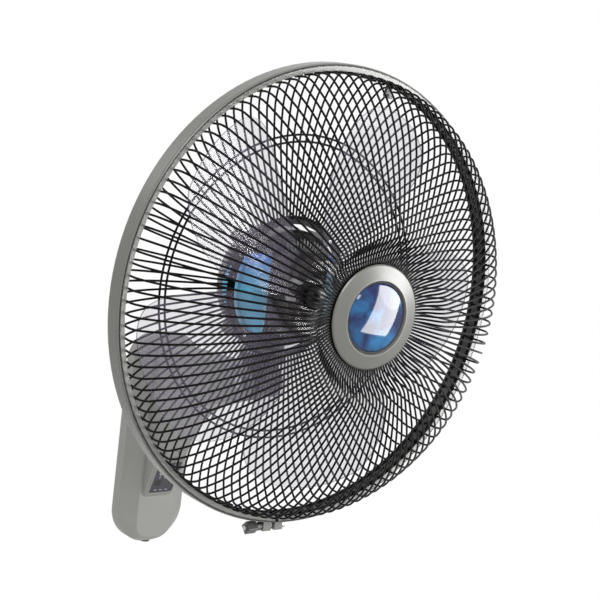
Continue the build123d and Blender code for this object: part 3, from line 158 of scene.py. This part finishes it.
def lay_floor():
    """Pale floor, white where it is looked at."""
    mesh = bpy.data.meshes.new("floor")
    work = bmesh.new()
    bmesh.ops.create_grid(work, x_segments=1, y_segments=1, size=FLOOR_HALF)
    bmesh.ops.translate(work, verts=work.verts, vec=(0, 0, FLOOR_Z))
    work.to_mesh(mesh)
    work.free()
    floor = bpy.data.objects.new("floor", mesh)
    bpy.context.scene.collection.objects.link(floor)
    material = bpy.data.materials.new("pale floor paint")
    material.use_nodes = True
    tree = material.node_tree
    tree.nodes.clear()
    seen = white_where_seen(tree)
    paint = add(tree, "BsdfDiffuse", {"Color": linear("#d8d8d6")})
    white = add(tree, "Emission", {"Color": linear("#ffffff"), "Strength": 1.0})
    mixed = add(tree, "MixShader", {0: seen, 1: paint.outputs[0], 2: white.outputs[0]})
    add(tree, "OutputMaterial", {"Surface": mixed.outputs[0]})
    mesh.materials.append(material)


# ---------------------------------------------------------------- materials
CLOUD_MM = 55.56                # size of the soft changes of shade over a moulding
GLOSS_SPREAD = 0.05             # roughness varies by this much each way
BAND_INSIDE_R = 228.2 * MM      # inner faces of the guard band lie within this, and are painted near black as shade
HUB_R = 42.5 * MM
HUB_EDGE = 5 * MM               # over this width the hub's tint thins out to the blades'
HUB_ALPHA = 0.46                # how much light the thick hub holds back
BLADE_ALPHA = 0.16
EDGE_ALPHA = 0.62
BLUE_PALE_Z = 165 * MM          # heights between which the side panels' painted reflection fades from pale to deep blue
BLUE_DEEP_Z = 205 * MM
PEARL_MM = 29.41                # size of the clouds in the lens's pearl coat


def textured(name, grain_mm, roughness, depth_mm, sockets=None):
    """Surface whose gloss varies a little in grains of one size, with a fine relief."""
    material = bpy.data.materials.new(name)
    material.use_nodes = True
    tree = material.node_tree
    shader = tree.nodes["Principled BSDF"]
    where = add(tree, "TexCoord").outputs["Object"]
    grain = add(tree, "TexNoise", {"Vector": where, "Scale": 1 / (grain_mm * MM), "Detail": 2.0})
    gloss = add(tree, "MapRange", {"Value": grain.outputs["Fac"], "To Min": roughness - GLOSS_SPREAD,
                                   "To Max": roughness + GLOSS_SPREAD})
    relief = add(tree, "Bump", {"Height": grain.outputs["Fac"], "Distance": depth_mm * MM})
    tree.links.new(gloss.outputs["Result"], shader.inputs["Roughness"])
    tree.links.new(relief.outputs["Normal"], shader.inputs["Normal"])
    for socket, value in (sockets or {}).items():
        shader.inputs[socket].default_value = value
    return material


def moulded(name, shade, lighter, grain_mm, roughness, depth_mm=0.02, sockets=None):
    """Textured surface whose colour drifts softly between two near shades."""
    material = textured(name, grain_mm, roughness, depth_mm, sockets)
    tree = material.node_tree
    where = add(tree, "TexCoord").outputs["Object"]
    clouds = add(tree, "TexNoise", {"Vector": where, "Scale": 1 / (CLOUD_MM * MM), "Detail": 3.0})
    mixed = add(tree, "MixRGB", {"Fac": clouds.outputs["Fac"], "Color1": linear(shade),
                                 "Color2": linear(lighter)})
    tree.links.new(mixed.outputs["Color"], tree.nodes["Principled BSDF"].inputs["Base Color"])
    return material


def axis_distance(tree):
    """How far a point lies from the fan axis."""
    where = add(tree, "TexCoord").outputs["Object"]
    centred = add(tree, "VectorMath", {0: where, 1: FAN_CENTRE}, operation="SUBTRACT")
    across = add(tree, "VectorMath", {0: centred.outputs[0], 1: (1, 0, 1)}, operation="MULTIPLY")
    return add(tree, "VectorMath", {0: across.outputs[0]}, operation="LENGTH").outputs["Value"]


def grey_abs():
    """Moulded ABS with a fine spark texture: a soft satin that shows broad highlights."""
    return moulded("moulded grey ABS", "#a1a19e", "#a9a9a6", 0.7, 0.45, 0.02,
                   {"Specular IOR Level": 0.3})


def band_polypropylene():
    """Moulded polypropylene, smoother than the case, with painted shade inside: its inner faces, in shadow
    behind the wires, are painted near black.
    """
    material = moulded("moulded grey polypropylene", "#6c6c68", "#757570", 0.9, 0.28)
    tree = material.node_tree
    colour = tree.nodes["Principled BSDF"].inputs["Base Color"]
    polished = colour.links[0].from_socket
    outside = add(tree, "Math", {0: axis_distance(tree), 1: BAND_INSIDE_R}, operation="GREATER_THAN")
    place = add(tree, "SeparateXYZ", {"Vector": add(tree, "TexCoord").outputs["Object"]})
    lip = add(tree, "Math", {0: place.outputs["Y"], 1: FAN_CENTRE.y + 0.1 * MM}, operation="LESS_THAN")
    shown = add(tree, "Math", {0: outside.outputs[0], 1: lip.outputs[0]}, operation="MAXIMUM")
    # painted shade: near black on the inner faces, the band's own moulded colour outside and on the front
    # lip
    shade = add(tree, "MixRGB", {"Fac": shown.outputs[0], "Color1": linear("#1c1c1d"), "Color2": polished})
    tree.links.new(shade.outputs["Color"], colour)
    return material


def neck_nylon():
    """Moulded dark nylon, duller and darker than the case."""
    return moulded("moulded dark nylon", "#4b4a49", "#545352", 0.6, 0.48)


def cap_abs():
    """Moulded warm grey ABS of the motor's rear cap."""
    return moulded("moulded warm grey ABS", "#767371", "#807d7a", 0.7, 0.40)


def black_abs():
    """Moulded black ABS with a fine spark texture."""
    return moulded("moulded black ABS", "#08080a", "#0e0e11", 0.6, 0.26, 0.01,
                   {"Specular IOR Level": 0.35})


def wire_coat():
    """Epoxy powder coat on steel wire: nearly black, with a faint orange peel and a sheen."""
    return moulded("black powder coat", "#040405", "#09090a", 1.2, 0.36, 0.03,
                   {"Specular IOR Level": 0.1})


def zinc_steel():
    """Zinc plated steel, blue-white and slightly streaked."""
    return moulded("zinc plated steel", "#a9abae", "#bdbfc2", 0.8, 0.36, 0.01, {"Metallic": 1.0})


def lamination_steel():
    """Stacked electrical sheet, dark grey, with its edges as a fine relief."""
    return moulded("electrical steel laminations", "#4d4e52", "#5d5e62", 0.5, 0.5, 0.04, {"Metallic": 1.0})


def copper_winding():
    """Varnished copper wire, glossy and ridged."""
    return moulded("varnished copper wire", "#a5572e", "#c0703c", 0.6, 0.32, 0.15, {"Metallic": 1.0})


def sintered_bronze():
    """Porous sintered bronze of the plain bush."""
    return moulded("sintered bronze", "#8d6b3b", "#a07b45", 0.3, 0.5, 0.02, {"Metallic": 1.0})


def board_laminate():
    """Green solder mask over glass laminate."""
    return moulded("green solder mask", "#1c5535", "#226340", 1.5, 0.3)


def moulded_rubber():
    """Moulded black rubber, dull."""
    return moulded("moulded black rubber", "#191919", "#222222", 0.5, 0.7)


def terminal_polyamide():
    """White moulded polyamide, with a dull sheen."""
    return moulded("moulded white polyamide", "#cfcfc8", "#d9d9d2", 0.8, 0.45)


def key_abs():
    """Moulded light grey ABS of the keys."""
    return moulded("moulded key ABS", "#9c9c97", "#a6a6a1", 0.5, 0.4)


def lamp_acrylic():
    """Clear moulded acrylic of the lamps' light pipes, greenish where it is thick."""
    return moulded("clear moulded acrylic", "#b9c4bd", "#c6d0c9", 1.0, 0.15, 0.005,
                   {"Transmission Weight": 0.4, "IOR": 1.49})


def window_acrylic():
    """Polished black acrylic that only infrared light passes."""
    return moulded("polished black acrylic", "#08080a", "#0d0d10", 1.0, 0.08, 0.002)


def label_film():
    """Printed polycarbonate film with a fine velvet texture."""
    return moulded("printed polycarbonate film", "#35323f", "#3d3a48", 0.4, 0.33, 0.01)


def badge_abs():
    """Moulded ABS with a satin lacquer, glossier than the case."""
    return moulded("lacquered grey ABS", "#64645f", "#6c6c67", 0.8, 0.30, 0.01)


def screen_ink():
    """Pale screen printing ink, matt and slightly uneven."""
    return moulded("pale screen printing ink", "#d6d4de", "#e2e0e8", 0.4, 0.55, 0.004)


def smoky_resin():
    """Clear AS resin with a smoky tint: thin blades let nearly all light through, the hub less."""
    material = textured("smoky clear AS resin", 40.0, 0.12, 0.0, {"IOR": 1.57})
    tree = material.node_tree
    shader = tree.nodes["Principled BSDF"]
    thin = add(tree, "MapRange", {"Value": axis_distance(tree), "From Min": HUB_R,
                                  "From Max": HUB_R + HUB_EDGE, "To Min": HUB_ALPHA,
                                  "To Max": BLADE_ALPHA})
    # faces that look sideways are edges, where light runs a long way through the resin
    facing = add(tree, "SeparateXYZ", {"Vector": add(tree, "TexCoord").outputs["Normal"]})
    flat = add(tree, "Math", {0: facing.outputs["Y"]}, operation="ABSOLUTE")
    edge = add(tree, "MapRange", {"Value": flat.outputs[0], "From Min": 0.15, "From Max": 0.30,
                                  "To Min": EDGE_ALPHA, "To Max": 0.0})
    solid = add(tree, "Math", {0: thin.outputs["Result"], 1: edge.outputs["Result"]}, operation="MAXIMUM")
    dark = add(tree, "MapRange", {"Value": solid.outputs[0], "From Min": BLADE_ALPHA, "From Max": HUB_ALPHA})
    shade = add(tree, "MixRGB", {"Fac": dark.outputs["Result"], "Color1": linear("#a199ae"),
                                 "Color2": linear("#453d42")})
    tree.links.new(solid.outputs[0], shader.inputs["Alpha"])
    tree.links.new(shade.outputs["Color"], shader.inputs["Base Color"])
    return material


def blue_acrylic():
    """Polished acrylic over a blue metallic coat: deep blue above, and pale where it turns under, which is a
    painted reflection.
    """
    material = textured("polished blue acrylic", 2.0, 0.16, 0.0)
    tree = material.node_tree
    place = add(tree, "SeparateXYZ", {"Vector": add(tree, "TexCoord").outputs["Object"]})
    height = add(tree, "MapRange", {"Value": place.outputs["Z"], "From Min": BLUE_PALE_Z,
                                    "From Max": BLUE_DEEP_Z})
    # painted reflection: pale blue low on the panels, deep blue higher up
    shade = add(tree, "MixRGB", {"Fac": height.outputs["Result"], "Color1": linear("#6fd4ff"),
                                 "Color2": linear("#2272e6")})
    tree.links.new(shade.outputs["Color"], tree.nodes["Principled BSDF"].inputs["Base Color"])
    return material


def gem_acrylic():
    """Domed polished acrylic over a dark blue pearl coat, with soft lighter clouds in its depth."""
    material = textured("domed polished acrylic", 2.0, 0.06, 0.0, {"Specular IOR Level": 0.45})
    tree = material.node_tree
    where = add(tree, "TexCoord").outputs["Object"]
    clouds = add(tree, "TexNoise", {"Vector": where, "Scale": 1 / (PEARL_MM * MM), "Detail": 3.0,
                                    "Distortion": 0.6})
    lift = add(tree, "MapRange", {"Value": clouds.outputs["Fac"], "From Min": 0.45, "From Max": 0.75})
    shade = add(tree, "MixRGB", {"Fac": lift.outputs["Result"], "Color1": linear("#081c52"),
                                 "Color2": linear("#1f78b0")})
    tree.links.new(shade.outputs["Color"], tree.nodes["Principled BSDF"].inputs["Base Color"])
    return material


FINISHES = {
    "case_grey": grey_abs, "band_grey": band_polypropylene, "neck_grey": neck_nylon,
    "cap_grey": cap_abs, "black_plastic": black_abs, "wire_black": wire_coat, "steel": zinc_steel,
    "laminations": lamination_steel, "copper": copper_winding, "bronze": sintered_bronze,
    "board_green": board_laminate, "rubber_black": moulded_rubber,
    "terminal_white": terminal_polyamide, "button_grey": key_abs, "lamp_clear": lamp_acrylic,
    "window_black": window_acrylic, "label_purple": label_film, "badge_grey": badge_abs,
    "smoky_clear": smoky_resin, "blue_gloss": blue_acrylic, "gem_blue": gem_acrylic,
}


def finish_nodes():
    """Gives every piece of the frame the material of its slot, and returns the materials by slot."""
    made = {slot: finish() for slot, finish in FINISHES.items()}
    for part in frame["record"]["subparts"]:
        node = frame["nodes"][part["node"]]
        for slot in node.material_slots:
            slot.material = made[part["material_slot"]]
    return made


def as_piece(name, mesh, body, material):
    """Puts a finished mesh in the scene as a piece that rides on its body."""
    piece = bpy.data.objects.new(name, mesh)
    bpy.context.scene.collection.objects.link(piece)
    mesh.materials.clear()
    mesh.materials.append(material)
    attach(piece, body)
    return piece


# ---------------------------------------------------------------- lens in the badge, and a black ring of painted shade in its gap
LENS_R = 33.0 * MM
LENS_CHAMFER = 1.5 * MM
LENS_BACK = 83.8 * MM           # depths forward of the guard band's front
LENS_EDGE = 87.0 * MM
LENS_CROWN = 91.0 * MM
LENS_STEPS = 24                 # from the dome's edge to its middle
LENS_TURNS = 128                # round the fan axis
SHARP_ANGLE = math.radians(25)
GAP_SHADE_RING_R = 33.9 * MM         # the black ring fills the gap between the lens and its ring, as painted shade
GAP_SHADE_THICK_R = 0.8 * MM
GAP_SHADE_FORWARD = 85.1 * MM
GAP_SHADE_TURNS = 96


def polished_lens(material):
    """The badge's domed lens with a true round crown, its edge chamfered."""
    edge_r = LENS_R - LENS_CHAMFER
    rise = LENS_CROWN - LENS_EDGE
    dome_r = (edge_r ** 2 + rise ** 2) / (2 * rise)
    profile = [(0, LENS_BACK), (LENS_R, LENS_BACK), (LENS_R, LENS_EDGE - LENS_CHAMFER)]
    for i in range(LENS_STEPS + 1):
        r = edge_r * (1 - i / LENS_STEPS)
        profile.append((r, LENS_CROWN - dome_r + math.sqrt(dome_r ** 2 - r ** 2)))
    work = bmesh.new()
    verts = [work.verts.new(FAN_CENTRE + Vector((r, -forward, 0))) for r, forward in profile]
    edges = [work.edges.new(pair) for pair in zip(verts, verts[1:])]
    bmesh.ops.spin(work, geom=verts + edges, cent=FAN_CENTRE, axis=(0, 1, 0), angle=math.tau,
                   steps=LENS_TURNS, use_merge=True)
    bmesh.ops.remove_doubles(work, verts=work.verts, dist=1e-6)
    bmesh.ops.recalc_face_normals(work, faces=work.faces)
    mesh = bpy.data.meshes.new("lens")
    work.to_mesh(mesh)
    work.free()
    mesh.shade_smooth()
    mesh.set_sharp_from_angle(angle=SHARP_ANGLE)
    piece = as_piece("polished_lens", mesh, "head", material)
    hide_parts("badge_gem")


def lens_gap_shade(material):
    """Round black ring in the black rubber finish, painted shade in the gap round the lens, its section spun
    about the fan axis.
    """
    work = bmesh.new()
    middle = FAN_CENTRE + Vector((GAP_SHADE_RING_R, -GAP_SHADE_FORWARD, 0))
    section = bmesh.ops.create_circle(work, segments=12, radius=GAP_SHADE_THICK_R,
                                      matrix=Matrix.Translation(middle))
    edges = {edge for vert in section["verts"] for edge in vert.link_edges}
    bmesh.ops.spin(work, geom=section["verts"] + list(edges), cent=FAN_CENTRE, axis=(0, 1, 0),
                   angle=math.tau, steps=GAP_SHADE_TURNS, use_merge=True)
    bmesh.ops.recalc_face_normals(work, faces=work.faces)
    mesh = bpy.data.meshes.new("gap_shade_ring")
    work.to_mesh(mesh)
    work.free()
    mesh.shade_smooth()
    as_piece("lens_gap_shade", mesh, "head", material)


# ---------------------------------------------------------------- print on the control label
PANEL_LOW = Vector((0, -29, -110)) * MM     # middle of the sloping control panel's lower edge
PANEL_HIGH = Vector((0, -55, -47)) * MM     # and of its upper edge
LABEL_FACE = 0.1 * MM                       # the label's face above the panel
INK_THICK = 0.03 * MM
NUMERAL_TALL = 4.2 * MM
TYPE_SIZE = 1.4                             # the typeface's size for a numeral's height of 1
NUMERAL_ROW = 21.5 * MM                     # rows are placed up from the panel's lower edge
TIMER_ROW = 36.5 * MM
MARK_PITCH = 7.0 * MM
BAR_SIZE = (3.6 * MM, 0.9 * MM)
BAR_ROWS = (5.0 * MM, 27.5 * MM, 33.0 * MM)


def panel_frame():
    """Places things drawn flat, x across and y up, on the sloping control panel."""
    up = (PANEL_HIGH - PANEL_LOW).normalized()
    across = Vector((1, 0, 0))
    turned = Matrix((across, up, across.cross(up))).transposed().to_4x4()
    return Matrix.Translation(PANEL_LOW) @ turned


def numeral(text, x, y):
    """One printed numeral as a mesh on the panel."""
    curve = bpy.data.curves.new("numeral", "FONT")
    curve.body = text
    curve.size = NUMERAL_TALL * TYPE_SIZE
    curve.align_x = "CENTER"
    curve.extrude = INK_THICK / 2
    drawn = bpy.data.objects.new("numeral", curve)
    mesh = bpy.data.meshes.new_from_object(drawn)
    bpy.data.objects.remove(drawn)
    mesh.transform(panel_frame() @ Matrix.Translation((x, y, LABEL_FACE + INK_THICK / 2)))
    return mesh


def print_numerals(ink):
    """Two rows of plain numbers: the speeds, and the timer's hours."""
    for row, y, texts in (("speed", NUMERAL_ROW, "123"), ("timer", TIMER_ROW, "124")):
        for i, text in enumerate(texts):
            mesh = numeral(text, (i - 1) * MARK_PITCH, y)
            piece = as_piece(f"{row}_numeral_{i}", mesh, "wall_unit", ink)


def print_bars(ink):
    """Rows of three short printed bars, below and above the numbers."""
    for row, y in enumerate(BAR_ROWS):
        work = bmesh.new()
        for i in range(3):
            place = Matrix.Translation(((i - 1) * MARK_PITCH, y, LABEL_FACE + INK_THICK / 2))
            size = Matrix.Diagonal((*BAR_SIZE, INK_THICK, 1))
            bmesh.ops.create_cube(work, size=1.0, matrix=panel_frame() @ place @ size)
        mesh = bpy.data.meshes.new("bars")
        work.to_mesh(mesh)
        work.free()
        as_piece(f"printed_bars_{row}", mesh, "wall_unit", ink)


place_camera()
light_studio()
lay_floor()
finishes = finish_nodes()
ink = screen_ink()
print_numerals(ink)
print_bars(ink)
polished_lens(finishes["gem_blue"])
# black ring of painted shade in the gap round the lens
lens_gap_shade(finishes["rubber_black"])
